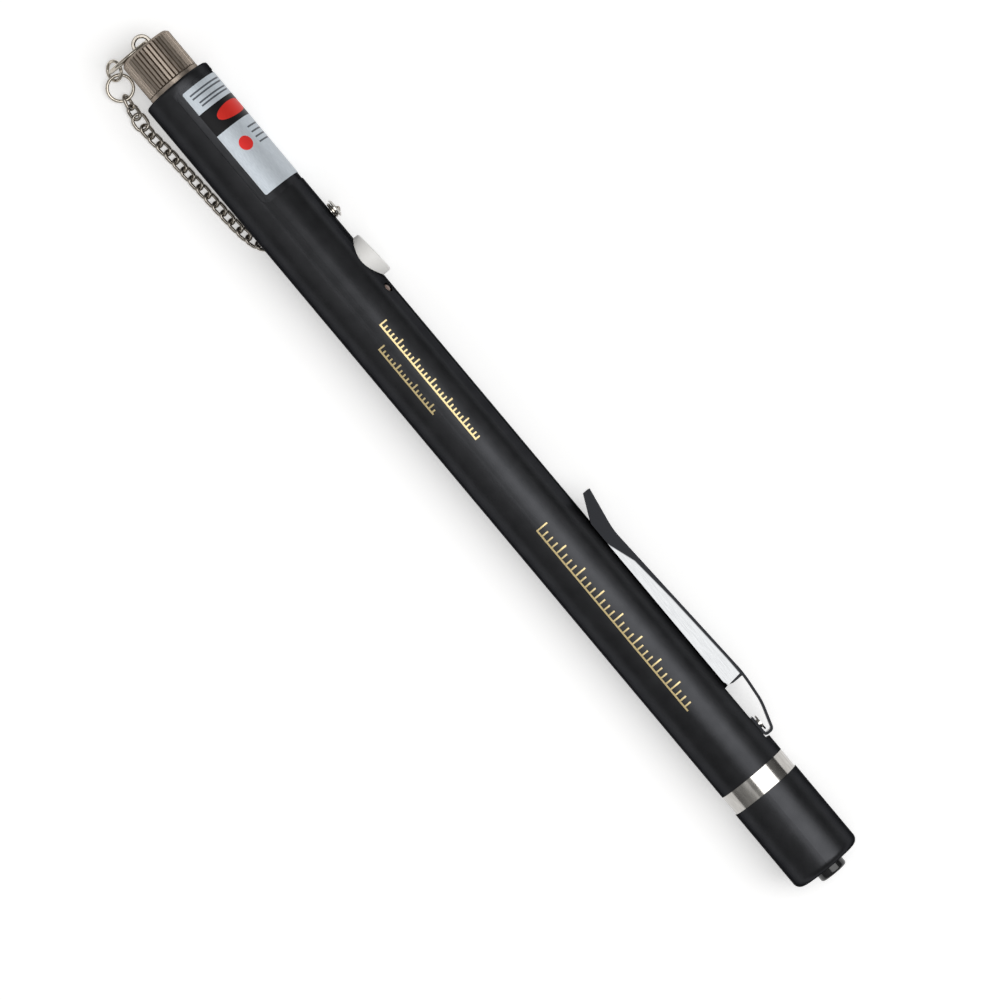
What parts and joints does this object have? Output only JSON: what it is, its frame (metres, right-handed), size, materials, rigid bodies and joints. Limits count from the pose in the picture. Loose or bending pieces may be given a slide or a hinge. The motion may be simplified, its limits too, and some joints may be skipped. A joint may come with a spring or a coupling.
{
  "type": "visual fault locator",
  "caption": "Pen-type red laser for tracing faults in optical fibre, with a knurled dust cap on a tether chain, a side button, a tail switch and a pocket clip.",
  "frame": {"origin": "centre of the ferrule port's mouth, on the axis of the pen", "axes": "+X along the pen from the port to the tail; +Y towards the side button and the pocket clip; +Z away from the floor that the pen lies on"},
  "size_m": [0.1926, 0.0209, 0.0152],
  "materials": {
    "black_anodised": "satin",
    "nickel": "polished",
    "chrome": "polished",
    "chain_steel": "satin",
    "ceramic": "glazed",
    "brass": "machined",
    "lens_glass": "clear",
    "diode_metal": "plated",
    "frame_plastic": "matte",
    "board_green": "lacquered",
    "chip_black": "matte",
    "button_white": "satin",
    "light_lens": "clear tinted",
    "contact_steel": "plated",
    "cell_wrap": "glossy",
    "label_silver": "satin print",
    "tail_black": "glossy"
  },
  "bodies": {
    "pen": {"barrel": "black_anodised", "port_body": "nickel", "ferrule_sleeve": "ceramic", "sleeve_retainer": "brass", "lens": "lens_glass", "laser_housing": "brass", "laser_diode": "diode_metal", "diode_retainer": "brass", "inner_frame": "frame_plastic", "circuit_board": "board_green", "board_chips": "chip_black", "tact_switch": "chip_black", "indicator_light": "light_lens", "front_contact": "contact_steel", "front_cell": "cell_wrap", "rear_cell": "cell_wrap", "label_plate": "label_silver", "clip_rivet": "chrome", "anchor_screw": "chrome", "end_link": "chain_steel", "chain": "chain_steel"},
    "dust_cap": {"dust_cap": "nickel", "cap_seal": "frame_plastic", "cap_eyelet": "chain_steel", "cap_ring": "chain_steel", "jump_ring": "chain_steel"},
    "side_button": {"side_button": "button_white", "switch_plunger": "button_white"},
    "tail_cap": {"tail_cap": "black_anodised", "chrome_ring": "chrome", "tail_switch": "frame_plastic", "tail_spring": "contact_steel"},
    "tail_button": {"tail_button": "tail_black", "tail_plunger": "tail_black"},
    "pocket_clip": {"pocket_clip": "chrome"}
  },
  "joints": [
    {"name": "cap_pull", "type": "slide", "parent": "pen", "child": "dust_cap", "axis": [-1, 0, 0], "range_m": [0, 0.012]},
    {"name": "side_button_press", "type": "slide", "parent": "pen", "child": "side_button", "axis": [0, -1, 0], "range_m": [0, 0.0006], "stiffness_N_per_m": 400},
    {"name": "tail_cap_pull", "type": "slide", "parent": "pen", "child": "tail_cap", "axis": [1, 0, 0], "range_m": [0, 0.01]},
    {"name": "tail_button_press", "type": "slide", "parent": "tail_cap", "child": "tail_button", "axis": [-1, 0, 0], "range_m": [0, 0.0012], "stiffness_N_per_m": 400},
    {"name": "clip_flex", "type": "hinge", "parent": "pen", "child": "pocket_clip", "pos_m": [0.1618, 0.0066, 0], "axis": [0, 0, -1], "range_deg": [0, 4], "stiffness_Nm_per_rad": 0.5}
  ]
}
